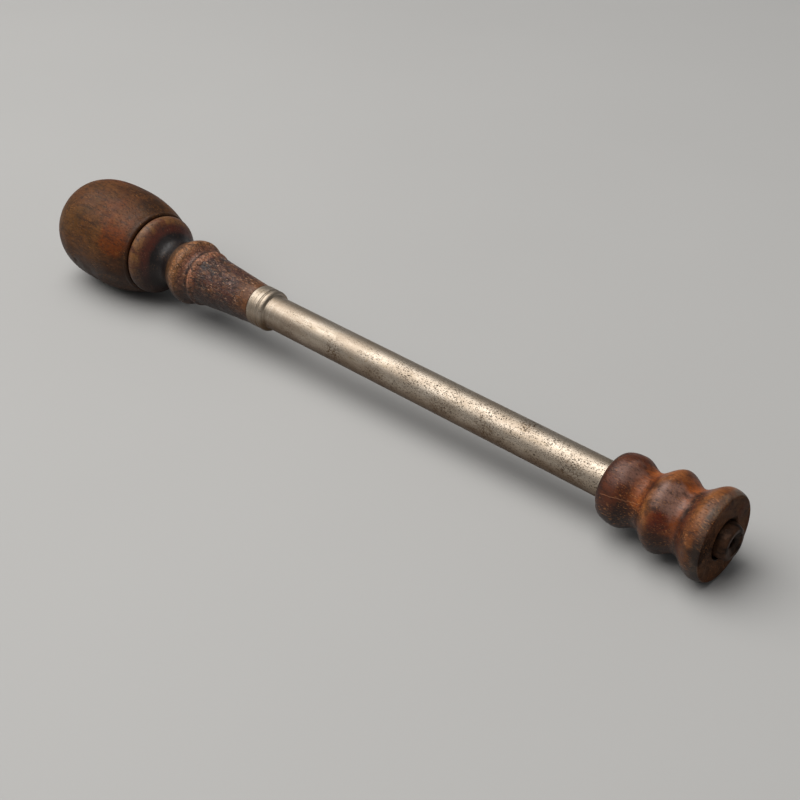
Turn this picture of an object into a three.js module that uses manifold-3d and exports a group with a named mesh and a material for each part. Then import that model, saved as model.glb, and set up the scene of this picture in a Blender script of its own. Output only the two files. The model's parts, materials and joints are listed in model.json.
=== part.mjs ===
// A jeweller's ring mandrel lying on its side: a turned knob that swivels on a spindle, a turned
// neck, a nickelled ferrule and parallel tube, and a wooden spool that turns on a liner and pulls
// off the tube's open end. Millimetres, +Z up, the length along X with the spool at +X.
import * as THREE from 'three';
import { mergeVertices } from 'three/addons/utils/BufferGeometryUtils.js';
import Module from 'manifold-3d';

const wasm = await Module();
wasm.setup();

// Driving sizes. "At" values are distances along the axis from a datum just behind the knob.
const GAP = 0.3;
const SIDES = 20;
const SMALL_SIDES = 16;
const tubeRadius = 8;
const tubeWall = 1.6;

const knob = { noseAt: 1.5, radius: 26.4, widestAt: 35, faceAt: 64.3, bluntness: 2.8, taperPower: 2.3 };
const knobLip = { radius: 21.2, length: 1.6, drop: 1.5 };
const neck = { backAt: 64.9, endRadius: 9.75 };
// The neck's turning points: [distance along the axis, radius].
const rim = [66.6, 20.1];
const cove = [79.5, 11.4];
const bead = [94.2, 16.2];
const groove = [99.8, 13];
const shoulder = [103.1, 13.8];
const sleeveStart = [106.2, 12.5];
const rimEdge = 0.9;
const ferrule = { radius: 10, wall: 1, backAt: 141, frontAt: 150.9, seatAt: 146.2 };
const ferruleGroove = { at: 147.4, halfWidth: 0.4, depth: 0.4 };
const ferruleBead = [148.9, 9.95];
const tube = { backAt: ferrule.seatAt + GAP, frontAt: 392 };
const spool = {
  backAt: 345.4, backRadius: 11.6, backFullness: 2.2,
  frontAt: 396, faceRadius: 17.3, mouthRadius: 8.7, mouthDepth: 6,
};
// The spool's turning points: ridge, cove, ridge, cove, ridge.
const ridges = [[353.2, 15.1], [361.8, 12], [371.8, 17.4], [380.6, 13.8], [391.2, 19.1]];
const liner = { wall: 0.7, inset: 1 };
const tip = { radius: 7.4, neckAt: 397, faceRadius: 6.2, frontAt: 400.4, shankBackAt: 372 };
const tipHole = { radius: 2.2, depth: 8, dishDepth: 1.8, dishRadius: 5 };
const spindle = { radius: 4, headRadius: 8, headAt: 46, headLength: 3.5, frontAt: 168 };
const plate = { radius: 17, thickness: 2.3, barrelRadius: 9.9, barrelBackAt: 51.3 };
const screws = { count: 3, circle: 13.5, radius: 1.2, headRadius: 2.5, headLength: 1.4, length: 12 };
const washer = { radius: 15, thickness: 1 };
const pin = { radius: 1.2, at: 381, inset: 0.2 };
const nail = { radius: 0.8, at: 143.4, length: 3.6, inset: 0.1 };
const chamberDepth = 3;
const plugLength = 24.5;
// How far a cutting tool runs past the surface it cuts.
const OVERRUN = 2;

const boreRadius = spindle.radius + GAP;
const tubeBore = tubeRadius - tubeWall;
const plugRadius = tubeBore - GAP;
const linerInner = tubeRadius + GAP;
const linerOuter = linerInner + liner.wall;

const wood = (color) => new THREE.MeshStandardMaterial({ color, roughness: 0.45, metalness: 0 });
const metal = (color, roughness) => new THREE.MeshStandardMaterial({ color, roughness, metalness: 1 });
const knobWood = wood(0x6f4022);
const neckWood = wood(0x3d2118);
const spoolWood = wood(0x5c2c18);
const nickel = metal(0xb5a994, 0.38);
const steel = metal(0x77736c, 0.45);
const iron = metal(0x55402f, 0.55);
const brass = metal(0xa98446, 0.4);
const leather = wood(0x2b1a10);

// ---- Outlines: [distance along the axis, radius] pairs -------------------------------------

// A turned curve through stations, level at each one and easing from one to the next.
function eased(stations, steps = 6) {
  const points = [stations[0]];
  for (let i = 1; i < stations.length; i += 1) {
    const [fromAt, fromRadius] = stations[i - 1];
    const [toAt, toRadius] = stations[i];
    for (let k = 1; k <= steps; k += 1) {
      const t = k / steps;
      const blend = (1 - Math.cos(Math.PI * t)) / 2;
      points.push([fromAt + (toAt - fromAt) * t, fromRadius + (toRadius - fromRadius) * blend]);
    }
  }
  return points;
}

// A quarter round: it leaves the first point square to the axis and meets the second one level.
// With `power` over 2 the corner is fuller than an ellipse's.
function rising(from, to, power = 2, steps = 8) {
  const points = [];
  for (let k = 0; k <= steps; k += 1) {
    const angle = (k / steps) * (Math.PI / 2);
    const along = Math.pow(Math.cos(angle), 2 / power);
    const out = Math.pow(Math.sin(angle), 2 / power);
    points.push([to[0] - (to[0] - from[0]) * along, from[1] + (to[1] - from[1]) * out]);
  }
  return points;
}

// The same quarter round run the other way, from level to square.
function falling(from, to, power = 2, steps = 8) {
  return rising(to, from, power, steps).reverse();
}

// A turned taper that starts level and steepens towards its end.
function steepening(from, to, power, steps = 8) {
  const points = [];
  for (let k = 0; k <= steps; k += 1) {
    const t = k / steps;
    points.push([from[0] + (to[0] - from[0]) * t, from[1] + (to[1] - from[1]) * Math.pow(t, power)]);
  }
  return points;
}

// ---- Solids ----------------------------------------------------------------------------------

// Revolves an outline about X. An outline that starts and ends at radius 0 is a solid piece; any
// other is closed on itself, and runs forward along the outside and back along the inside.
function turn(outline, sides = SIDES) {
  const points = outline.map(([at, radius]) => new THREE.Vector2(radius, at));
  if (points[0].x > 0 || points[points.length - 1].x > 0) points.push(points[0].clone());
  const geometry = new THREE.LatheGeometry(points, sides, Math.PI / sides);
  geometry.rotateZ(-Math.PI / 2);
  return geometry;
}

function rod(backAt, frontAt, radius, sides = SIDES) {
  return turn([[backAt, 0], [backAt, radius], [frontAt, radius], [frontAt, 0]], sides);
}

function sleeve(backAt, frontAt, outer, inner, sides = SIDES) {
  return turn([[backAt, outer], [frontAt, outer], [frontAt, inner], [backAt, inner]], sides);
}

function toManifold(geometry) {
  const bare = geometry.clone();
  bare.deleteAttribute('normal');
  bare.deleteAttribute('uv');
  const merged = mergeVertices(bare, 1e-4);
  const triVerts = new Uint32Array(merged.index.array);
  const vertProperties = new Float32Array(merged.attributes.position.array);
  return new wasm.Manifold(new wasm.Mesh({ numProp: 3, vertProperties, triVerts }));
}

function toGeometry(solid) {
  const { vertProperties, triVerts } = solid.getMesh();
  const geometry = new THREE.BufferGeometry();
  geometry.setAttribute('position', new THREE.BufferAttribute(new Float32Array(vertProperties), 3));
  geometry.setIndex(new THREE.BufferAttribute(new Uint32Array(triVerts), 1));
  geometry.computeVertexNormals();
  return geometry;
}

function cut(body, tools) {
  return toGeometry(tools.reduce((solid, tool) => solid.subtract(toManifold(tool)), toManifold(body)));
}

// A small rod square to the axis, centred at a place along it.
function crossRod(at, low, high, radius) {
  const geometry = rod(low, high, radius, SMALL_SIDES);
  geometry.rotateZ(Math.PI / 2);
  geometry.translate(at, 0, 0);
  return geometry;
}

// ---- The knob and what is in it ----------------------------------------------------------------

function screwPlace(index) {
  const angle = (index / screws.count) * 2 * Math.PI + Math.PI / 2;
  return [screws.circle * Math.cos(angle), screws.circle * Math.sin(angle)];
}

// A countersunk screw's outline at a place on the knob's face, larger all round by a clearance.
function screwShape(index, clearance, mouth) {
  const [y, z] = screwPlace(index);
  const pointAt = knob.faceAt - screws.length - clearance;
  const shank = screws.radius + clearance;
  const head = screws.headRadius + clearance;
  const body = turn([
    [pointAt, 0], [pointAt, shank], [knob.faceAt - screws.headLength, shank], [knob.faceAt, head], ...mouth,
  ], SMALL_SIDES);
  body.translate(0, y, z);
  return body;
}

function screwBody(index) {
  return screwShape(index, 0, [[knob.faceAt, 0]]);
}

function screwHoles() {
  const mouthAt = knob.faceAt + OVERRUN;
  const mouth = [[mouthAt, screws.headRadius + GAP], [mouthAt, 0]];
  return Array.from({ length: screws.count }, (_, i) => screwShape(i, GAP, mouth));
}

function knobBody() {
  const widest = [knob.widestAt, knob.radius];
  const lip = [knob.faceAt - knobLip.length, knobLip.radius];
  const outside = [
    ...rising([knob.noseAt, 0], widest, knob.bluntness, 14),
    ...steepening(widest, lip, knob.taperPower).slice(1),
    ...falling(lip, [knob.faceAt, knobLip.radius - knobLip.drop], 2, 4).slice(1),
  ];
  const recess = plate.radius + GAP;
  const plateSeat = knob.faceAt - plate.thickness - GAP;
  const chamber = plate.barrelRadius + GAP;
  const chamberBack = spindle.headAt - chamberDepth;
  const inside = [
    [knob.faceAt, recess], [plateSeat, recess], [plateSeat, chamber], [chamberBack, chamber], [chamberBack, 0],
  ];
  return cut(turn([...outside, ...inside]), screwHoles());
}

// A brass flange let into the knob's face, with a barrel that runs on the spindle.
function knobPlate() {
  const flangeBack = knob.faceAt - plate.thickness;
  const body = turn([
    [plate.barrelBackAt, plate.barrelRadius], [flangeBack, plate.barrelRadius], [flangeBack, plate.radius],
    [knob.faceAt, plate.radius], [knob.faceAt, boreRadius], [plate.barrelBackAt, boreRadius],
  ]);
  return cut(body, screwHoles());
}

// ---- The fixed parts on the axis -----------------------------------------------------------------

function spindleBody() {
  const headFront = spindle.headAt + spindle.headLength;
  return turn([
    [spindle.headAt, 0], [spindle.headAt, spindle.headRadius], [headFront, spindle.headRadius],
    [headFront, spindle.radius], [spindle.frontAt, spindle.radius], [spindle.frontAt, 0],
  ]);
}

function headWasher() {
  const back = spindle.headAt + spindle.headLength + GAP;
  return sleeve(back, plate.barrelBackAt - GAP, spindle.headRadius, boreRadius);
}

function seamWasher() {
  const back = knob.faceAt + GAP;
  return sleeve(back, back + washer.thickness, washer.radius, boreRadius);
}

function nailHole() {
  const tipAt = -ferrule.radius + nail.length + GAP;
  return crossRod(nail.at, -ferrule.radius - OVERRUN, tipAt, nail.radius + GAP);
}

function neckBody() {
  const sleeveEnd = ferrule.backAt - GAP;
  const tenonRadius = ferrule.radius - ferrule.wall - GAP;
  const tenonEnd = ferrule.seatAt - GAP;
  const recess = washer.radius + GAP;
  const recessAt = knob.faceAt + washer.thickness + 2 * GAP;
  const outline = [
    ...rising([neck.backAt, rim[1] - rimEdge], rim, 2, 4),
    ...eased([rim, cove], 10).slice(1),
    ...eased([cove, bead, groove], 8).slice(1),
    ...eased([groove, shoulder, sleeveStart], 4).slice(1),
    [sleeveEnd, neck.endRadius], [sleeveEnd, tenonRadius], [tenonEnd, tenonRadius],
    [tenonEnd, boreRadius], [recessAt, boreRadius], [recessAt, recess], [neck.backAt, recess],
  ];
  return cut(turn(outline), [nailHole()]);
}

function ferruleBody() {
  const bore = ferrule.radius - ferrule.wall;
  const tubeSeat = tubeRadius + GAP;
  const { at: grooveAt, halfWidth, depth } = ferruleGroove;
  const outline = [
    [ferrule.backAt, ferrule.radius],
    [grooveAt - halfWidth, ferrule.radius], [grooveAt, ferrule.radius - depth],
    ...eased([[grooveAt + halfWidth, ferrule.radius - depth / 2], ferruleBead], 3),
    ...falling(ferruleBead, [ferrule.frontAt, tubeSeat + GAP], 2, 5).slice(1),
    [ferrule.frontAt, tubeSeat], [ferrule.seatAt, tubeSeat], [ferrule.seatAt, bore], [ferrule.backAt, bore],
  ];
  return cut(turn(outline), [nailHole()]);
}

function nailBody() {
  return crossRod(nail.at, -ferrule.radius + nail.inset, -ferrule.radius + nail.length, nail.radius);
}

function pinHole() {
  const end = tubeRadius + OVERRUN;
  return crossRod(pin.at, -end, end, pin.radius + GAP);
}

function tubeBody() {
  return cut(sleeve(tube.backAt, tube.frontAt, tubeRadius, tubeBore), [pinHole()]);
}

function pinBody() {
  const end = tubeRadius - pin.inset;
  return crossRod(pin.at, -end, end, pin.radius);
}

function rearPlug() {
  return sleeve(tube.backAt + GAP, tube.backAt + plugLength, plugRadius, boreRadius);
}

// The end piece: a shank pinned in the tube, and a rounded, dished head with a centre hole.
function tipBody() {
  const shoulderAt = tube.frontAt + GAP;
  const { radius, neckAt, faceRadius, frontAt } = tip;
  const dish = [[frontAt, tipHole.dishRadius], [frontAt - tipHole.dishDepth, tipHole.radius]];
  const floorAt = frontAt - tipHole.depth;
  const body = turn([
    [tip.shankBackAt, 0], [tip.shankBackAt, plugRadius], [shoulderAt, plugRadius], [shoulderAt, radius],
    ...falling([neckAt, radius], [frontAt, faceRadius], 2, 5), ...eased(dish, 4),
    [floorAt, tipHole.radius], [floorAt, 0],
  ]);
  return cut(body, [pinHole()]);
}

// ---- The spool ---------------------------------------------------------------------------------

const widestRidge = ridges[ridges.length - 1];

function linerBody() {
  const frontAt = spool.frontAt - spool.mouthDepth - GAP;
  return sleeve(spool.backAt + liner.inset, frontAt, linerOuter, linerInner);
}

function spoolBody() {
  const bore = linerOuter + GAP;
  const mouthAt = spool.frontAt - spool.mouthDepth;
  const outline = [
    ...rising([spool.backAt, spool.backRadius], ridges[0], spool.backFullness, 6), ...eased(ridges, 7).slice(1),
    ...falling(widestRidge, [spool.frontAt, spool.faceRadius], 2, 5).slice(1),
    [spool.frontAt, spool.mouthRadius], [mouthAt, spool.mouthRadius], [mouthAt, bore], [spool.backAt, bore],
  ];
  return turn(outline);
}

// ---- Assembly ------------------------------------------------------------------------------------

const axis = new THREE.Group();

function add(name, geometry, material) {
  const mesh = new THREE.Mesh(geometry, material);
  mesh.name = name;
  axis.add(mesh);
}

add('knob', knobBody(), knobWood);
add('knob_plate', knobPlate(), brass);
for (let i = 0; i < screws.count; i += 1) add(`plate_screw_${i + 1}`, screwBody(i), steel);
add('spindle', spindleBody(), steel);
add('head_washer', headWasher(), steel);
add('seam_washer', seamWasher(), leather);
add('neck', neckBody(), neckWood);
add('ferrule', ferruleBody(), nickel);
add('ferrule_nail', nailBody(), brass);
add('rear_plug', rearPlug(), steel);
add('mandrel_tube', tubeBody(), nickel);
add('tip', tipBody(), iron);
add('tip_pin', pinBody(), steel);
add('spool_liner', linerBody(), brass);
add('spool', spoolBody(), spoolWood);

// The axis slopes down to the spool, so that the knob's and the spool's widest facets both rest.
const [ridgeAt, ridgeRadius] = widestRidge;
const drop = (knob.radius - ridgeRadius) * Math.cos(Math.PI / SIDES);
axis.rotation.y = Math.asin(drop / (ridgeAt - knob.widestAt));

const model = new THREE.Group();
model.name = 'ring_mandrel';
model.add(axis);
model.updateMatrixWorld(true);
const box = new THREE.Box3().setFromObject(model, true);
axis.position.set(-(box.min.x + box.max.x) / 2, -(box.min.y + box.max.y) / 2, -box.min.z);

export default model;
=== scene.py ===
"""Looks for the ring mandrel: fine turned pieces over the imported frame, with procedural wood, worn
nickel and patinated iron, on a plain pale floor under a soft overhead light."""
import json
import math

import bpy
from mathutils import Matrix, Vector, noise


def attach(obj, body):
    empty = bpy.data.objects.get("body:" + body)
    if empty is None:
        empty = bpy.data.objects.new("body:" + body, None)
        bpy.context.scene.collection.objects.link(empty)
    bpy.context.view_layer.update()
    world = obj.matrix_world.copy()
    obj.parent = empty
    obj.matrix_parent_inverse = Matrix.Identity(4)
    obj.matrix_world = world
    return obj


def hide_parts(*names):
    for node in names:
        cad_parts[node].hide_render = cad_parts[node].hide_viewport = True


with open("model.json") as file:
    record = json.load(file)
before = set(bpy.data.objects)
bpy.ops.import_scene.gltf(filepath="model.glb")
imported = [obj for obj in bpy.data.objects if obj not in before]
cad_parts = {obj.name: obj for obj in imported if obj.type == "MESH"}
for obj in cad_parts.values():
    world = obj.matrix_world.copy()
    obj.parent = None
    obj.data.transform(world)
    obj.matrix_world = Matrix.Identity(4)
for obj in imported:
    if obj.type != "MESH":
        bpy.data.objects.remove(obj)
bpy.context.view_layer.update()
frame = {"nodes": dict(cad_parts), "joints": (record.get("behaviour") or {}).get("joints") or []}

MM = 0.001
SEGMENTS = 200
SHARP_ANGLE = math.radians(35)

# ---- Driving sizes, in millimetres. "At" values run along the axis from the same datum as the CAD.
GAP = 0.3
# The chip in the spool's mouth: angle and spread in radians, how far it runs in and how much is gone.
CHIP = {"angle": math.radians(45), "spread": 0.24, "depth": 2.0, "bite": 1.5}
# Brown stains on the tube: (at, degrees round from +Y, size, strength).
STAINS = [
    (196, 183, 7, 0.9), (223, 186, 6, 0.8), (303, 85, 5, 0.8), (262, 180, 7, 0.7), (285, 180, 7, 0.75),
    (240, 100, 6, 0.35), (330, 178, 7, 0.7), (168, 184, 6, 0.6),
]
KNOB = {"nose": 1.5, "widest": 35.0, "radius": 26.4, "face": 64.3}
# The powers of the quarter round at the knob's nose and of its taper to the lip.
KNOB_CURVE = {"nose": 2.8, "taper": 2.3}
KNOB_LIP = {"at": 62.7, "radius": 21.2, "drop": 1.5}
PLATE = {"radius": 17.0, "thickness": 2.3, "barrel": 9.9}
WASHER = {"radius": 15.0, "thickness": 1.0}
BORE = 4.3
CHAMBER_AT = 43.0
NECK = {"back": 64.9, "rim_edge": 0.9, "end_radius": 9.75}
NECK_SLEEVE = (104, 134)
NECK_TURNS = [(66.6, 20.1), (79.5, 11.4), (94.2, 16.2), (99.8, 13.0), (103.1, 13.8), (106.2, 12.5)]
FERRULE = {"back": 141.0, "front": 150.9, "seat": 146.2, "radius": 10.0, "wall": 1.0, "edge": 0.3}
# The ferrule's hairline and groove: (at, depth below the ferrule's radius). The bead follows the groove.
HAIRLINE = [(144.0, 0), (144.5, 0.12), (145.0, 0.02)]
GROOVE = [(146.6, 0.05), (147.3, 0.4), (148.7, 0)]
# The solder fillet in front of the bead, which runs out on the tube.
FILLET = {"top_radius": 8.7, "above_tube": 0.04, "rise": 0.15, "length": 0.4, "toe": 0.5}
TUBE = {"front": 392.0, "radius": 8.0, "bore": 6.4, "chamfer": 0.4}
RIDGES = [(353.2, 15.1), (361.8, 12.0), (371.8, 17.4), (380.6, 13.8), (391.2, 19.1)]
SPOOL = {"back": 345.4, "back_radius": 11.6, "back_fullness": 2.2, "front": 396.0, "face_radius": 17.3}
MOUTH = {"radius": 8.7, "depth": 6.0, "edge": 0.4}
LINER = {"outer": 9.0, "inner": 8.3, "inset": 1.0}
TIP = {"neck": 397.0, "front": 400.4, "radius": 7.4, "face_radius": 6.2, "shank": 6.1, "shank_back": 372.0}
TIP_HOLE = {"radius": 2.2, "depth": 8.0, "dish_radius": 5.0, "dish_depth": 1.8}

# ---- Studio, in metres, watts and degrees.
FLOOR_REACH = 6.0
LIGHT_FROM = (-0.50, -0.38, 1.35)
OVERHEAD = {"size": (2.2, 1.8), "power": 25.0, "tint": (1.0, 0.985, 0.96)}
SKYLIGHT = {"strength": 1.15, "angle": 60}
WORLD = {"tint": (0.97, 0.98, 1.0, 1.0), "strength": 0.17}
CAMERA = {"place": (0.3861, -0.3852, 0.3423), "down": 32.405, "heading": 42.761, "lens": 62.94}


# ---- The axis ------------------------------------------------------------------------------------

def joint(name):
    return next(j for j in frame["joints"] if j["name"] == name)


def axis_matrix():
    """The matrix that takes axis coordinates to the row frame: X along the tool, Z up."""
    swivel = joint("knob_swivel")
    along = Vector(swivel["axis"]).normalized()
    across = Vector((0, 1, 0))
    up = along.cross(across)
    datum = Vector(swivel["pos_m"]) - along * KNOB["face"] * MM
    turn = Matrix((along, across, up)).transposed().to_4x4()
    return Matrix.Translation(datum) @ turn


AXIS = axis_matrix()


# ---- Outlines: lists of (at, radius) -------------------------------------------------------------

def eased(stations, steps=14):
    """A turned curve through stations, level at each one and easing from one to the next."""
    points = [stations[0]]
    for (from_at, from_radius), (to_at, to_radius) in zip(stations, stations[1:]):
        for k in range(1, steps + 1):
            t = k / steps
            blend = (1 - math.cos(math.pi * t)) / 2
            points.append((from_at + (to_at - from_at) * t, from_radius + (to_radius - from_radius) * blend))
    return points


def rising(start, end, power=2.0, steps=14):
    """A quarter round that leaves start square to the axis and meets end level."""
    points = []
    for k in range(steps + 1):
        angle = k / steps * math.pi / 2
        along = math.cos(angle) ** (2 / power)
        out = math.sin(angle) ** (2 / power)
        points.append((end[0] - (end[0] - start[0]) * along, start[1] + (end[1] - start[1]) * out))
    return points


def falling(start, end, power=2.0, steps=14):
    """The same quarter round from level to square."""
    return rising(end, start, power, steps)[::-1]


def steepening(start, end, power, steps=24):
    """A taper that starts level and steepens towards its end."""
    points = []
    for k in range(steps + 1):
        t = k / steps
        points.append((start[0] + (end[0] - start[0]) * t, start[1] + (end[1] - start[1]) * t ** power))
    return points


def close_set(outline, step):
    """The same outline with points no more than step apart."""
    points = [outline[0]]
    for start, end in zip(outline, outline[1:]):
        count = max(1, math.ceil(math.dist(start, end) / step))
        for k in range(1, count + 1):
            t = k / count
            points.append((start[0] + (end[0] - start[0]) * t, start[1] + (end[1] - start[1]) * t))
    return points


# ---- Turned meshes -------------------------------------------------------------------------------

def turned(name, outline, shape=None, step=1.0):
    """Revolves an outline about the axis. shape(at, angle, radius) gives a worn radius. An outline
    that doesn't start and end on the axis is closed on itself."""
    points = close_set(outline, step)
    closed = points[0][1] > 0 or points[-1][1] > 0
    if closed and math.dist(points[0], points[-1]) > 1e-6:
        points = points[:-1] + close_set([points[-1], points[0]], step)
    if closed:
        points = points[:-1]
    vertices = []
    rings = []
    for at, radius in points:
        first = len(vertices)
        if radius == 0:
            vertices.append((at * MM, 0, 0))
            rings.append([first] * SEGMENTS)
            continue
        for k in range(SEGMENTS):
            angle = 2 * math.pi * k / SEGMENTS
            worn = shape(at, angle, radius) if shape else radius
            vertices.append((at * MM, worn * MM * math.cos(angle), worn * MM * math.sin(angle)))
        rings.append(list(range(first, first + SEGMENTS)))
    pairs = list(zip(rings, rings[1:]))
    if closed:
        pairs.append((rings[-1], rings[0]))
    faces = []
    for low, high in pairs:
        for k in range(SEGMENTS):
            after = (k + 1) % SEGMENTS
            corners = [low[k], high[k], high[after], low[after]]
            faces.append(tuple(dict.fromkeys(corners)))
    mesh = bpy.data.meshes.new(name)
    mesh.from_pydata(vertices, [], [face[::-1] for face in faces])
    mesh.shade_smooth()
    mesh.set_sharp_from_angle(angle=SHARP_ANGLE)
    piece = bpy.data.objects.new(name, mesh)
    piece.matrix_world = AXIS
    bpy.context.scene.collection.objects.link(piece)
    return piece


def unevenness(at, angle, radius, size, seed):
    """Smooth noise from -1 to 1 over a turned surface, with swells about size millimetres across."""
    place = Vector((at, radius * math.cos(angle), radius * math.sin(angle))) / size
    return noise.noise(place + Vector((seed, 0, 0)))


def dent(at, angle, radius, size, seed, level, slope):
    """The depth of scattered dents. It is nothing where the noise is below level."""
    return slope * max(0, unevenness(at, angle, radius, size, seed) - level)


# Each shape function gives a worn radius: the turned one, with a slow swell and the wear of its piece.

def knob_shape(at, angle, radius):
    swell = 0.22 * (unevenness(at, angle, radius, size=22, seed=3) - 0.6)
    return radius + swell - dent(at, angle, radius, size=5, seed=11, level=0.45, slope=0.9)


def neck_shape(at, angle, radius):
    swell = 0.12 * unevenness(at, angle, radius, size=12, seed=5)
    back, front = NECK_SLEEVE
    if not back < at < front:
        return radius + swell
    flakes = 0.16 * unevenness(at * 0.6, angle, radius, size=2.2, seed=8)
    return radius + swell + flakes


def tip_shape(at, angle, radius):
    if radius <= TIP_HOLE["radius"]:
        return radius
    swell = 0.22 * unevenness(at, angle, radius, size=3.5, seed=31)
    roughness = 0.16 * unevenness(at, angle, radius, size=1.3, seed=37)
    return radius + swell + roughness


def ferrule_shape(at, angle, radius):
    outside_from = FERRULE["radius"] - 0.8
    if radius <= outside_from:
        return radius
    return radius + 0.08 * unevenness(at, angle, radius, size=7, seed=13)


def spool_shape(at, angle, radius):
    if radius > MOUTH["radius"] + 1:
        swell = 0.14 * unevenness(at, angle, radius, size=14, seed=9)
        return radius + swell - dent(at, angle, radius, size=4, seed=21, level=0.5, slope=0.8)
    depth = SPOOL["front"] - at
    if depth >= CHIP["depth"]:
        return radius
    chip = max(0, 1 - abs(angle - CHIP["angle"]) / CHIP["spread"])
    return radius + CHIP["bite"] * chip * (1 - depth / CHIP["depth"])


# ---- Pieces --------------------------------------------------------------------------------------

def knob_piece():
    widest = (KNOB["widest"], KNOB["radius"])
    lip = (KNOB_LIP["at"], KNOB_LIP["radius"])
    lip_foot = (KNOB["face"], KNOB_LIP["radius"] - KNOB_LIP["drop"])
    recess = PLATE["radius"] + GAP
    seat = KNOB["face"] - PLATE["thickness"] - GAP
    chamber = PLATE["barrel"] + GAP
    outline = rising((KNOB["nose"], 0), widest, KNOB_CURVE["nose"], 60)
    outline += steepening(widest, lip, KNOB_CURVE["taper"])[1:]
    outline += falling(lip, lip_foot)[1:]
    outline += [
        (KNOB["face"], recess), (seat, recess), (seat, chamber), (CHAMBER_AT, chamber), (CHAMBER_AT, 0),
    ]
    return turned("knob_turned", outline, knob_shape)


def neck_piece():
    rim_at, rim_radius = NECK_TURNS[0]
    sleeve_end = FERRULE["back"] - GAP
    tenon = FERRULE["radius"] - FERRULE["wall"] - GAP
    tenon_end = FERRULE["seat"] - GAP
    recess_at = KNOB["face"] + WASHER["thickness"] + 2 * GAP
    recess = WASHER["radius"] + GAP
    outline = rising((NECK["back"], rim_radius - NECK["rim_edge"]), (rim_at, rim_radius))
    outline += eased(NECK_TURNS, 20)[1:]
    outline += [
        (sleeve_end, NECK["end_radius"]), (sleeve_end, tenon), (tenon_end, tenon), (tenon_end, BORE),
        (recess_at, BORE), (recess_at, recess), (NECK["back"], recess),
    ]
    return turned("neck_turned", outline, neck_shape, step=0.8)


def ferrule_piece():
    back, front, seat, radius = (FERRULE[key] for key in ("back", "front", "seat", "radius"))
    bore = radius - FERRULE["wall"]
    foot = TUBE["radius"] + FILLET["above_tube"]
    bead = (GROOVE[-1][0], radius)
    outline = [(back, radius - FERRULE["edge"]), (back + FERRULE["edge"], radius)]
    outline += eased([(at, radius - depth) for at, depth in HAIRLINE], 5)
    outline += eased([(at, radius - depth) for at, depth in GROOVE], 8)
    outline += falling(bead, (front - FILLET["length"], FILLET["top_radius"]), 2, 10)[1:]
    outline += [
        (front, foot + FILLET["rise"]), (front + FILLET["toe"], foot),
        (seat, foot), (seat, bore), (back, bore),
    ]
    return turned("ferrule_turned", outline, ferrule_shape, step=0.6)


def tube_piece():
    back = FERRULE["seat"] + GAP
    front, radius, bore, chamfer = (TUBE[key] for key in ("front", "radius", "bore", "chamfer"))
    outline = [
        (back, radius), (front - chamfer, radius), (front, radius - chamfer), (front, bore), (back, bore),
    ]
    return turned("mandrel_tube_turned", outline, step=2.5)


def liner_piece():
    front = SPOOL["front"] - MOUTH["depth"] - GAP
    back = SPOOL["back"] + LINER["inset"]
    outline = [
        (back, LINER["outer"]), (front, LINER["outer"]), (front, LINER["inner"]), (back, LINER["inner"]),
    ]
    return turned("spool_liner_turned", outline, step=3)


def spool_piece():
    bore = LINER["outer"] + GAP
    mouth_at = SPOOL["front"] - MOUTH["depth"]
    mouth = MOUTH["radius"]
    outline = rising((SPOOL["back"], SPOOL["back_radius"]), RIDGES[0], SPOOL["back_fullness"])
    outline += eased(RIDGES, 22)[1:]
    outline += falling(RIDGES[-1], (SPOOL["front"], SPOOL["face_radius"]))[1:]
    outline += [
        (SPOOL["front"], mouth + MOUTH["edge"]), (SPOOL["front"] - MOUTH["edge"], mouth),
        (mouth_at, mouth), (mouth_at, bore), (SPOOL["back"], bore),
    ]
    return turned("spool_turned", outline, spool_shape, step=0.7)


def tip_piece():
    shoulder = TUBE["front"] + GAP
    front = TIP["front"]
    floor = front - TIP_HOLE["depth"]
    outline = [
        (TIP["shank_back"], 0), (TIP["shank_back"], TIP["shank"]), (shoulder, TIP["shank"]),
        (shoulder, TIP["radius"]),
    ]
    outline += falling((TIP["neck"], TIP["radius"]), (front, TIP["face_radius"]), 2, 10)
    dish_at = front - TIP_HOLE["dish_depth"]
    outline += eased([(front, TIP_HOLE["dish_radius"]), (dish_at, TIP_HOLE["radius"])], 10)
    outline += [(floor, TIP_HOLE["radius"]), (floor, 0)]
    return turned("tip_turned", outline, tip_shape, step=0.6)


# ---- Shader helpers ------------------------------------------------------------------------------

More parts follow.
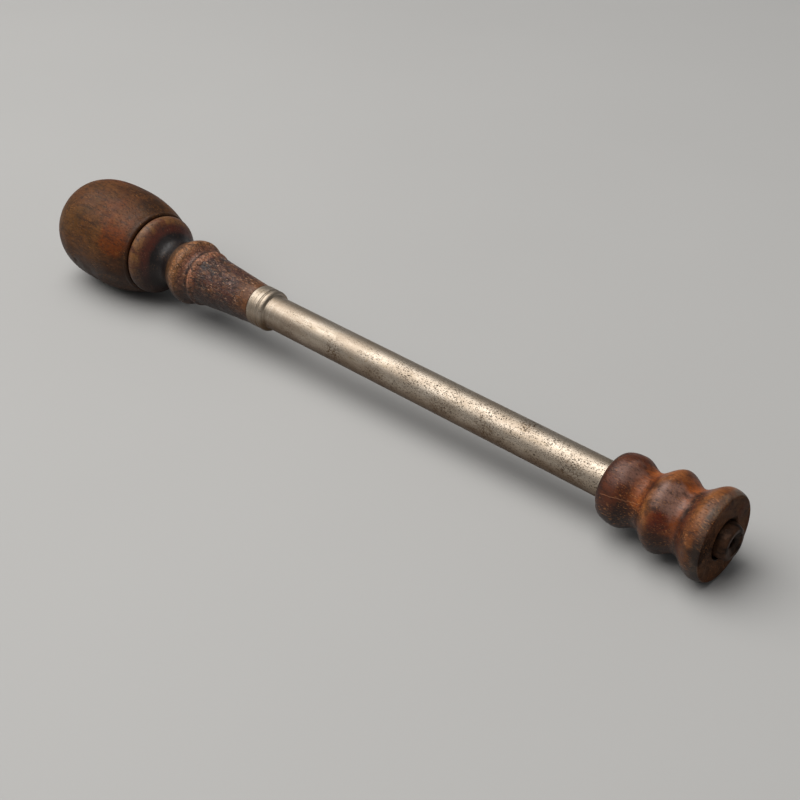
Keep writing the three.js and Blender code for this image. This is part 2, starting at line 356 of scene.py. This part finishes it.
class Shader:
    """One procedural material being built: adds nodes, sets their inputs and joins them."""

    def __init__(self, name):
        self.material = bpy.data.materials.new(name)
        self.material.use_nodes = True
        self.tree = self.material.node_tree
        self.surface = self.tree.nodes["Principled BSDF"]
        self.place = self.add("ShaderNodeTexCoord").outputs["Object"]

    def add(self, kind, settings=None, **inputs):
        node = self.tree.nodes.new(kind)
        for key, value in (settings or {}).items():
            setattr(node, key, value)
        for key, value in inputs.items():
            self.put(node.inputs[key.replace("_", " ")], value)
        return node

    def put(self, socket, value):
        if isinstance(value, bpy.types.NodeSocket):
            self.tree.links.new(value, socket)
        else:
            socket.default_value = value

    def stretched(self, along, across):
        """Axis coordinates in units of cells: along and across are the cells per metre."""
        mapping = self.add("ShaderNodeMapping", Vector=self.place, Scale=(along, across, across))
        return mapping.outputs["Vector"]

    def noise(self, along, across, detail=4.0, roughness=0.55, distortion=0.0):
        node = self.add(
            "ShaderNodeTexNoise", Vector=self.stretched(along, across), Scale=1.0, Detail=detail,
            Roughness=roughness, Distortion=distortion)
        return node.outputs["Fac"]

    def between(self, value, low, high):
        """0 below low, 1 above high, and smooth between them. low may be above high."""
        node = self.add("ShaderNodeMapRange", {"interpolation_type": "SMOOTHSTEP"}, Value=value)
        node.inputs["From Min"].default_value = low
        node.inputs["From Max"].default_value = high
        return node.outputs["Result"]

    def math(self, operation, a, b=0.0):
        node = self.add("ShaderNodeMath", {"operation": operation})
        self.put(node.inputs[0], a)
        self.put(node.inputs[1], b)
        return node.outputs["Value"]

    def blend(self, factor, a, b):
        """Colour a where factor is 0 and b where it is 1."""
        node = self.add("ShaderNodeMix", {"data_type": "RGBA"})
        first, second, result = 6, 7, 2  # the places of the colour sockets
        self.put(node.inputs["Factor"], factor)
        self.put(node.inputs[first], a)
        self.put(node.inputs[second], b)
        return node.outputs[result]

    def ramp(self, value, stops):
        """A colour ramp from (position, colour) stops."""
        node = self.add("ShaderNodeValToRGB", Fac=value)
        elements = node.color_ramp.elements
        for _ in stops[2:]:
            elements.new(0.5)
        for element, (position, colour) in zip(elements, stops):
            element.position = position
            element.color = colour
        return node.outputs["Color"]

    def along(self, wander=0.0):
        """The distance along the axis in millimetres, its boundaries wandering by some of them."""
        split = self.add("ShaderNodeSeparateXYZ", Vector=self.place)
        at = self.math("MULTIPLY", split.outputs["X"], 1000.0)
        if wander:
            drift = self.math("SUBTRACT", self.noise(90, 90, 3), 0.5)
            at = self.math("ADD", at, self.math("MULTIPLY", drift, 2 * wander))
        return at

    def patch(self, at, degrees, radius, size):
        """1 inside a ragged patch of about size millimetres round a place on the surface, 0 outside."""
        angle = math.radians(degrees)
        centre = Vector((at, radius * math.cos(angle), radius * math.sin(angle))) * MM
        away = self.add("ShaderNodeVectorMath", {"operation": "DISTANCE"})
        self.put(away.inputs[0], self.place)
        away.inputs[1].default_value = centre
        drift = self.math("SUBTRACT", self.noise(1600 / size, 1600 / size, 4, 0.6), 0.5)
        wander = self.math("MULTIPLY", drift, 1.8 * size * MM)
        ragged = self.math("ADD", away.outputs["Value"], wander)
        return self.between(ragged, 1.25 * size * MM, 0.45 * size * MM)

    def pits(self, density, size):
        """1 inside round pits. density is the cells per metre, and size is about how far the
        average pit reaches, in cells."""
        cell_place = self.add("ShaderNodeVectorMath", {"operation": "ADD"})
        wobble = self.add(
            "ShaderNodeTexNoise", Vector=self.stretched(density, density), Scale=1.0, Detail=2.0)
        self.put(cell_place.inputs[0], self.stretched(density * 0.8, density))
        self.put(cell_place.inputs[1], wobble.outputs["Color"])
        cells = self.add("ShaderNodeTexVoronoi", Vector=cell_place.outputs["Vector"], Scale=1.0)
        picked = self.add("ShaderNodeSeparateColor", Color=cells.outputs["Color"])
        mostly_small = self.math("POWER", picked.outputs["Red"], 3.0)
        reach = self.math("MULTIPLY", mostly_small, self.math("MULTIPLY", size, 3.2))
        return self.between(self.math("SUBTRACT", cells.outputs["Distance"], reach), 0.04, -0.06)

    def crack(self, start, end, radius, width, fade_in, fade_out):
        """1 on a thin wavering line along the grain, through two (at, degrees) places on a radius.

        Each fade is where along the axis the line is nothing and where it is full.
        """
        (start_at, start_degrees), (end_at, end_degrees) = start, end
        split = self.add("ShaderNodeSeparateXYZ", Vector=self.place)
        angle = self.math("ARCTAN2", split.outputs["Z"], split.outputs["Y"])
        slope = math.radians(end_degrees - start_degrees) / (end_at - start_at)
        at = self.along()
        turned_by = self.math("MULTIPLY", self.math("SUBTRACT", at, start_at), slope)
        path = self.math("ADD", turned_by, math.radians(start_degrees))
        waver = self.math("MULTIPLY", self.math("SUBTRACT", self.noise(420, 60, 3), 0.5), 0.10)
        off = self.math("ABSOLUTE", self.math("SUBTRACT", self.math("ADD", path, waver), angle))
        line = self.between(off, width / radius, width / radius / 2)
        ends = self.math("MULTIPLY", self.between(at, *fade_in), self.between(at, *fade_out))
        return self.math("MULTIPLY", line, ends)

    def stain(self, tone, mask, strength, over):
        """Lays a colour over a tone where the mask is 1, at a strength."""
        return self.blend(self.math("MULTIPLY", mask, strength), tone, over)

    def clouds(self, tone, rows):
        """Lays noise clouds over a tone, from (noise settings, limits, strength, colour) rows."""
        for settings, limits, strength, over in rows:
            tone = self.stain(tone, self.between(self.noise(*settings), *limits), strength, over)
        return tone

    def patches(self, tone, rows):
        """Lays ragged patches over a tone, from (at, degrees, radius, size, strength, colour) rows."""
        for at, degrees, radius, size, strength, over in rows:
            tone = self.stain(tone, self.patch(at, degrees, radius, size), strength, over)
        return tone

    def zones(self, stops, wander):
        """Colours by distance along the axis, from (at, colour) stops."""
        first, last = stops[0][0], stops[-1][0]
        part = self.math("DIVIDE", self.math("SUBTRACT", self.along(wander), first), last - first)
        return self.ramp(part, [((at - first) / (last - first), colour) for at, colour in stops])

    def bump(self, height, distance, strength=1.0):
        """Raises the surface by height times distance millimetres, over what is there already."""
        node = self.add("ShaderNodeBump", Height=height, Distance=distance * MM, Strength=strength)
        earlier = self.surface.inputs["Normal"]
        if earlier.is_linked:
            self.put(node.inputs["Normal"], earlier.links[0].from_socket)
        self.put(earlier, node.outputs["Normal"])


def colour(red, green, blue):
    """Display colour numbers, 0 to 255, as a linear colour."""
    shares = [part / 255 for part in (red, green, blue)]
    linear = [c / 12.92 if c <= 0.04 else ((c + 0.055) / 1.055) ** 2.4 for c in shares]
    return (*linear, 1.0)


# ---- Materials -----------------------------------------------------------------------------------

def add_grain(shader, tone, dark, light, pith, rings=0.15, fibre=0.3, flecks=0.3):
    """Lays growth rings, fibres, short pale strokes and open pores over a tone, at these strengths."""
    offset = shader.add("ShaderNodeMapping", Vector=shader.place, Location=(0, *pith))
    wave = shader.add(
        "ShaderNodeTexWave", {"wave_type": "RINGS", "rings_direction": "X"}, Vector=offset.outputs["Vector"],
        Scale=95.0, Distortion=6.0, Detail=4.0)
    wave.inputs["Detail Scale"].default_value = 0.3
    fibres = shader.noise(150, 1500, 6, 0.65)
    pores = shader.between(shader.noise(620, 2300, 2), 0.60, 0.68)
    strokes = shader.between(shader.noise(620, 1900, 4, 0.68, 0.2), 0.54, 0.66)
    worn_here = shader.between(shader.noise(75, 120, 4, 0.6, 0.5), 0.42, 0.62)
    tone = shader.stain(tone, shader.between(wave.outputs["Fac"], 0.5, 1.0), rings, dark)
    tone = shader.stain(tone, shader.between(fibres, 0.46, 0.66), fibre, dark)
    tone = shader.stain(tone, shader.math("MULTIPLY", strokes, worn_here), flecks, light)
    tone = shader.stain(tone, pores, 0.6, dark)
    shader.bump(fibres, 0.08, 0.7)
    shader.bump(shader.math("SUBTRACT", 1.0, pores), 0.10, 0.7)
    return tone


def paint_underside_shade(shader, tone, dark, strength, before=None):
    """Lays painted shade over the tone on the underside, darker towards the bottom.

    Where before is given, it stops short of that distance along the axis.
    """
    split = shader.add("ShaderNodeSeparateXYZ", Vector=shader.place)
    angle = shader.math("ARCTAN2", split.outputs["Z"], split.outputs["Y"])
    height = shader.math("SINE", angle)
    drift = shader.math("MULTIPLY", shader.math("SUBTRACT", shader.noise(60, 90, 4, 0.6), 0.5), 0.7)
    under = shader.between(shader.math("ADD", height, drift), 0.45, -0.5)
    if before is not None:
        under = shader.math("MULTIPLY", under, shader.between(shader.along(), before, before - 0.4))
    return shader.stain(tone, under, strength, dark)


def finish_wood(shader, tone, smooth, rough, specular=0.4, dull=None):
    """Sets a wood's colour, and a gloss that handling has rubbed up unevenly, but not where dull is 1."""
    handling = shader.between(shader.noise(90, 90, 5, 0.6), 0.34, 0.66)
    roughness = shader.math("ADD", smooth, shader.math("MULTIPLY", handling, rough - smooth))
    shader.put(shader.surface.inputs["Base Color"], tone)
    shader.surface.inputs["Specular IOR Level"].default_value = specular
    if dull is not None:
        roughness = shader.math("ADD", roughness, shader.math("MULTIPLY", dull, 0.25))
        kept = shader.math("SUBTRACT", 1.0, shader.math("MULTIPLY", dull, 0.7))
        gloss = shader.math("MULTIPLY", kept, specular)
        shader.put(shader.surface.inputs["Specular IOR Level"], gloss)
    shader.put(shader.surface.inputs["Roughness"], roughness)
    return shader.material


def knob_wood():
    shader = Shader("knob_wood")
    brown, dark, light = colour(88, 49, 17), colour(30, 13, 3), colour(156, 102, 50)
    orange, pale, olive = colour(110, 48, 0), colour(110, 68, 29), colour(82, 54, 20)
    tone = shader.clouds(brown, [
        ((34, 46, 5, 0.62), (0.42, 0.62), 0.7, pale),
        ((52, 80, 6, 0.68, 0.6), (0.48, 0.66), 0.6, olive),
        ((40, 60, 6, 0.68, 0.8), (0.50, 0.66), 0.6, dark),
    ])
    tone = shader.patches(tone, [
        (56, 148, 23.5, 11, 0.85, orange), (46, 118, 25, 8, 0.35, orange), (24, 60, 25, 12, 0.4, orange),
        (57, 78, 23, 9, 0.75, dark), (44, 70, 26, 9, 0.45, dark), (20, 150, 24, 12, 0.5, olive),
    ])
    tone = shader.clouds(tone, [
        ((210, 560, 6, 0.76), (0.48, 0.64), 0.6, dark),
        ((120, 360, 5, 0.7, 1.2), (0.55, 0.66), 0.5, dark),
    ])
    # Painted shade: the knob darkens towards its lip, where it tucks against the neck.
    lip_shade = shader.between(shader.along(wander=1.2), 59.5, 64.0)
    tone = shader.stain(tone, lip_shade, 0.6, dark)
    # Painted shade: the knob's underside is darkened.
    tone = paint_underside_shade(shader, tone, dark, 0.85)
    tone = add_grain(shader, tone, dark, light, (0.045, 0.03), rings=0.12, fibre=0.4, flecks=0.5)
    return finish_wood(shader, tone, smooth=0.42, rough=0.6, specular=0.2)


def neck_wood():
    shader = Shader("neck_wood")
    tan, red, dark = colour(122, 80, 42), colour(80, 35, 22), colour(24, 11, 8)
    black, bead, purple = colour(15, 8, 8), colour(146, 96, 54), colour(44, 22, 22)
    sleeve, plain, light = colour(74, 38, 27), colour(102, 60, 28), colour(206, 160, 124)
    olive, crest, rosy = colour(80, 52, 26), colour(170, 112, 82), colour(140, 90, 66)
    tone = shader.zones([
        (64.9, dark), (66.0, tan), (70.2, tan), (72.0, red), (73.2, red), (75.0, black), (85.6, black),
        (87.0, olive), (89.6, olive), (92.2, bead), (96.0, bead), (97.2, rosy), (98.8, rosy),
        (100.0, purple), (101.4, purple), (102.4, crest), (104.4, crest), (106.0, red), (108.0, purple),
        (113.0, sleeve), (130.0, sleeve), (135.0, plain), (141.0, plain),
    ], wander=1.2)
    at = shader.along(wander=2.5)
    on_collar = shader.between(at, 76, 71)
    clouds = shader.between(shader.noise(90, 190, 6, 0.72, 0.5), 0.44, 0.58)
    dirt = shader.between(shader.noise(160, 420, 6, 0.74, 0.2), 0.50, 0.64)
    tone = shader.stain(tone, shader.math("MULTIPLY", clouds, on_collar), 0.7, red)
    on_bead = shader.math("MULTIPLY", shader.between(at, 86, 90), shader.between(at, 101, 97))
    on_both = shader.math("MAXIMUM", on_collar, on_bead)
    tone = shader.stain(tone, shader.math("MULTIPLY", dirt, on_both), 0.65, dark)
    tone = shader.stain(tone, shader.math("MULTIPLY", clouds, on_bead), 0.3, red)
    on_sleeve = shader.math("MULTIPLY", shader.between(at, 96, 104), shader.between(at, 140, 133))
    rubbed = shader.between(shader.noise(150, 330, 5, 0.68, 0.4), 0.47, 0.56)
    worn = shader.math("MULTIPLY", rubbed, on_sleeve)
    left = shader.between(shader.noise(170, 420, 5, 0.7, 0.5), 0.52, 0.60)
    varnish = shader.math("MULTIPLY", left, on_sleeve)
    flecks = shader.between(shader.noise(430, 1150, 5, 0.72, 0.8), 0.55, 0.62)
    clusters = shader.between(shader.noise(110, 190, 4, 0.6, 0.9), 0.40, 0.56)
    on_flecked = shader.math("MULTIPLY", shader.between(at, 87, 92), shader.between(at, 143, 134))
    tone = shader.stain(tone, worn, 0.75, plain)
    tone = shader.stain(tone, varnish, 0.85, dark)
    on_clusters = shader.math("MULTIPLY", clusters, on_flecked)
    tone = shader.stain(tone, shader.math("MULTIPLY", flecks, on_clusters), 0.75, light)
    cell_place = shader.stretched(340, 520)
    cells = shader.add("ShaderNodeTexVoronoi", {"feature": "DISTANCE_TO_EDGE"}, Vector=cell_place, Scale=1.0)
    crazed = shader.math("MULTIPLY", shader.between(cells.outputs["Distance"], 0.11, 0.02), on_flecked)
    tone = shader.stain(tone, crazed, 0.6, dark)
    # Painted shade: the neck's underside is darkened.
    tone = paint_underside_shade(shader, tone, dark, 0.85)
    tone = add_grain(shader, tone, dark, light, (0.03, 0.05), rings=0.1, fibre=0.35, flecks=0.2)
    shader.bump(shader.math("SUBTRACT", worn, varnish), 0.15, 0.7)
    shader.bump(shader.math("SUBTRACT", 1.0, crazed), 0.1, 0.6)
    return finish_wood(shader, tone, smooth=0.32, rough=0.55, specular=0.33)


def spool_wood():
    shader = Shader("spool_wood")
    red, dark, light = colour(86, 40, 17), colour(24, 9, 4), colour(196, 130, 74)
    orange, painted_sheen, tan = colour(132, 66, 20), colour(130, 98, 86), colour(134, 80, 37)
    face, arris, deep = colour(94, 64, 44), colour(106, 86, 70), colour(92, 26, 6)
    bright, amber, split = colour(146, 74, 24), colour(146, 84, 40), colour(170, 112, 76)
    (ridge_1, _), (cove_1, _), (ridge_2, _), (cove_2, _), (ridge_3, _) = RIDGES
    front = SPOOL["front"]
    tone = shader.zones([
        (SPOOL["back"], dark), (ridge_1 - 4, red), (ridge_1 + 1, red), (cove_1 - 4.2, red),
        (cove_1 - 0.8, orange), (cove_1 + 2.0, orange), (cove_1 + 4.2, red), (ridge_2 - 4.0, tan),
        (ridge_2 - 0.5, tan), (ridge_2 + 2.5, red), (cove_2 - 2.6, orange), (cove_2 + 0.4, orange),
        (cove_2 + 2.4, dark), (ridge_3 - 6, red), (ridge_3 - 3, tan), (ridge_3 + 0.8, tan),
        (ridge_3 + 2.2, arris), (front - 0.8, arris), (front - 0.1, face), (front, face),
    ], wander=0.8)
    tone = shader.clouds(tone, [((70, 95, 5, 0.65), (0.44, 0.62), 0.55, red)])
    # The first two patches, on the upper side of ridges 1 and 2, are a painted sheen.
    tone = shader.patches(tone, [
        (355.5, 108, 14, 6.5, 0.5, painted_sheen), (375.5, 122, 16, 8, 0.85, painted_sheen), (363, 72, 12, 5, 0.9, bright),
        (381, 74, 14, 5, 0.85, bright), (371, 80, 17, 6, 0.75, amber), (375, 160, 16, 5, 0.7, deep),
        (360, 185, 13, 6, 0.6, dark), (396, 172, 17, 7, 0.85, dark),
    ])
    tone = shader.clouds(tone, [((130, 180, 6, 0.72), (0.48, 0.66), 0.65, dark)])
    # Painted shade: the spool's underside is darkened, stopping short of the end face.
    tone = paint_underside_shade(shader, tone, dark, 0.88, before=front - 0.3)
    tone = add_grain(shader, tone, dark, light, (0.02, 0.028), rings=0.15, fibre=0.4, flecks=0.5)
    crack = shader.crack(
        (349.4, 162.4), (364.1, 154.1), radius=14, width=0.13,
        fade_in=(347.5, 349.5), fade_out=(365.5, 362.5),
    )
    tone = shader.stain(tone, crack, 0.65, split)
    shader.bump(shader.math("SUBTRACT", 1.0, crack), 0.2, 0.7)
    end_grain = shader.between(shader.along(), front - 0.5, front - 0.1)
    return finish_wood(shader, tone, smooth=0.34, rough=0.55, specular=0.3, dull=end_grain)


def worn_nickel():
    shader = Shader("worn_nickel")
    pale, tarnish, brown = colour(188, 176, 161), colour(144, 127, 108), colour(82, 58, 34)
    black, yellow = colour(46, 36, 26), colour(128, 108, 70)
    cloud = shader.between(shader.noise(40, 150, 6, 0.65), 0.36, 0.64)
    tone = shader.stain(pale, cloud, 0.55, tarnish)
    tone = shader.clouds(tone, [
        ((1700, 1900, 4, 0.75), (0.44, 0.62), 0.4, tarnish),
        ((110, 300, 6, 0.74, 0.6), (0.56, 0.70), 0.45, yellow),
    ])
    freckles = shader.between(shader.noise(900, 1300, 5, 0.75), 0.47, 0.60)
    for at, degrees, size, strength in STAINS:
        stain = shader.math("MULTIPLY", shader.patch(at, degrees, TUBE["radius"], size), freckles)
        tone = shader.stain(tone, stain, strength, brown)
    at = shader.along()
    older = shader.between(at, 150, 270)
    clusters = shader.between(shader.noise(70, 130, 5, 0.6), 0.38, 0.62)
    denser = shader.math("MULTIPLY", shader.math("ADD", older, clusters), 0.1)
    finest = shader.pits(2600, shader.math("ADD", denser, 0.09))
    fine = shader.pits(1500, denser)
    coarse = shader.pits(760, shader.math("SUBTRACT", denser, 0.1))
    small = shader.math("MAXIMUM", shader.math("MULTIPLY", finest, 0.62), shader.math("MULTIPLY", fine, 0.8))
    spots = shader.math("MAXIMUM", small, coarse)
    tone = shader.stain(tone, spots, 0.85, black)
    lines = shader.noise(3600, 60, 3)
    turning = shader.math("MULTIPLY", shader.between(lines, 0.4, 0.6), shader.between(at, 200, 148))
    tone = shader.stain(tone, turning, 0.5, tarnish)
    # Painted shade: the underside of the ferrule and tube is darkened in brown.
    tone = paint_underside_shade(shader, tone, brown, 0.85)
    shader.put(shader.surface.inputs["Base Color"], tone)
    shader.surface.inputs["Metallic"].default_value = 1.0
    rough = shader.math("ADD", 0.42, shader.math("MULTIPLY", cloud, 0.08))
    rough = shader.math("ADD", rough, shader.math("MULTIPLY", spots, 0.25))
    shader.put(shader.surface.inputs["Roughness"], rough)
    shader.bump(shader.noise(2100, 500, 3, 0.6), 0.03, 0.8)
    shader.bump(turning, 0.025, 0.6)
    shader.bump(shader.math("SUBTRACT", 1.0, spots), 0.08, 0.7)
    return shader.material


def plain_metal(name, pale, dark, smooth, rough, metallic=1.0, specular=0.5):
    """A metal with turning lines, tarnish clouds and fine pits."""
    shader = Shader(name)
    cloud = shader.between(shader.noise(140, 220, 5, 0.62), 0.38, 0.68)
    tone = shader.blend(cloud, pale, dark)
    pits = shader.between(shader.noise(1100, 1100, 2), 0.64, 0.70)
    tone = shader.blend(shader.math("MULTIPLY", pits, 0.7), tone, dark)
    shader.put(shader.surface.inputs["Base Color"], tone)
    shader.surface.inputs["Metallic"].default_value = metallic
    shader.surface.inputs["Specular IOR Level"].default_value = specular
    shader.put(
        shader.surface.inputs["Roughness"],
        shader.math("ADD", smooth, shader.math("MULTIPLY", cloud, rough - smooth)))
    shader.bump(shader.noise(3200, 90, 2), 0.02, 0.5)
    shader.bump(shader.math("SUBTRACT", 1.0, pits), 0.05, 0.5)
    return shader.material


def leather():
    shader = Shader("washer_leather")
    cells = shader.add("ShaderNodeTexVoronoi", Vector=shader.stretched(1500, 1500), Scale=1.0)
    tone = shader.blend(cells.outputs["Distance"], colour(40, 26, 18), colour(72, 48, 34))
    shader.put(shader.surface.inputs["Base Color"], tone)
    shader.surface.inputs["Roughness"].default_value = 0.7
    shader.bump(cells.outputs["Distance"], 0.1, 0.6)
    return shader.material


# ---- Assembly ------------------------------------------------------------------------------------

def dress(piece, body, node, material):
    """A fine piece that stands for a CAD node."""
    piece.data.materials.append(material)
    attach(piece, body)
    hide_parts(node)


def repaint(node, material):
    """A CAD node that stays as it is gets a procedural material."""
    data = frame["nodes"][node].data
    data.materials.clear()
    data.materials.append(material)


def build_object():
    nickel = worn_nickel()
    steel = plain_metal("turned_steel", colour(150, 144, 136), colour(84, 78, 70), 0.32, 0.5)
    iron = plain_metal(
        "brown_iron", colour(72, 48, 33), colour(28, 18, 12), 0.45, 0.65, metallic=0.3, specular=0.15)
    brass = plain_metal("dull_brass", colour(182, 146, 84), colour(108, 80, 44), 0.34, 0.52)
    dress(knob_piece(), "palm_knob", "knob", knob_wood())
    dress(neck_piece(), "shaft", "neck", neck_wood())
    dress(ferrule_piece(), "shaft", "ferrule", nickel)
    dress(tube_piece(), "shaft", "mandrel_tube", nickel)
    dress(tip_piece(), "shaft", "tip", iron)
    dress(liner_piece(), "liner", "spool_liner", brass)
    dress(spool_piece(), "spool", "spool", spool_wood())
    repaint("knob_plate", brass)
    repaint("ferrule_nail", brass)
    repaint("seam_washer", leather())
    screws = [f"plate_screw_{k}" for k in (1, 2, 3)]
    for node in [*screws, "spindle", "head_washer", "rear_plug", "tip_pin"]:
        repaint(node, steel)


# ---- Floor, light and camera ---------------------------------------------------------------------

def build_floor():
    mesh = bpy.data.meshes.new("floor")
    corners = [(x * FLOOR_REACH, y * FLOOR_REACH, 0) for x, y in ((-1, -1), (1, -1), (1, 1), (-1, 1))]
    mesh.from_pydata(corners, [], [(0, 1, 2, 3)])
    floor = bpy.data.objects.new("floor", mesh)
    bpy.context.scene.collection.objects.link(floor)
    shader = Shader("pale_floor")
    tone = shader.blend(shader.noise(3, 3, 3), colour(170, 169, 167), colour(177, 176, 174))
    shader.put(shader.surface.inputs["Base Color"], tone)
    shader.surface.inputs["Roughness"].default_value = 0.75
    mesh.materials.append(shader.material)


def hang(name, data):
    """Puts a light at LIGHT_FROM, shining at the origin."""
    light = bpy.data.objects.new(name, data)
    light.location = LIGHT_FROM
    light.rotation_euler = Vector(LIGHT_FROM).to_track_quat("Z", "Y").to_euler()
    bpy.context.scene.collection.objects.link(light)


def build_light():
    overhead = bpy.data.lights.new("overhead", "AREA")
    overhead.shape = "RECTANGLE"
    overhead.size, overhead.size_y = OVERHEAD["size"]
    overhead.energy = OVERHEAD["power"]
    overhead.color = OVERHEAD["tint"]
    hang("overhead", overhead)
    skylight = bpy.data.lights.new("skylight", "SUN")
    skylight.energy = SKYLIGHT["strength"]
    skylight.angle = math.radians(SKYLIGHT["angle"])
    hang("skylight", skylight)
    world = bpy.data.worlds.new("studio")
    world.use_nodes = True
    background = world.node_tree.nodes["Background"]
    background.inputs["Color"].default_value = WORLD["tint"]
    background.inputs["Strength"].default_value = WORLD["strength"]
    bpy.context.scene.world = world


def build_camera():
    data = bpy.data.cameras.new("camera")
    data.sensor_width = 36.0
    data.lens = CAMERA["lens"]
    data.clip_start = 0.01
    camera = bpy.data.objects.new("camera", data)
    camera.location = CAMERA["place"]
    camera.rotation_euler = (math.radians(90 - CAMERA["down"]), 0, math.radians(CAMERA["heading"]))
    bpy.context.scene.collection.objects.link(camera)
    bpy.context.scene.camera = camera


build_object()
build_floor()
build_light()
build_camera()
bpy.context.scene.view_settings.view_transform = "Standard"
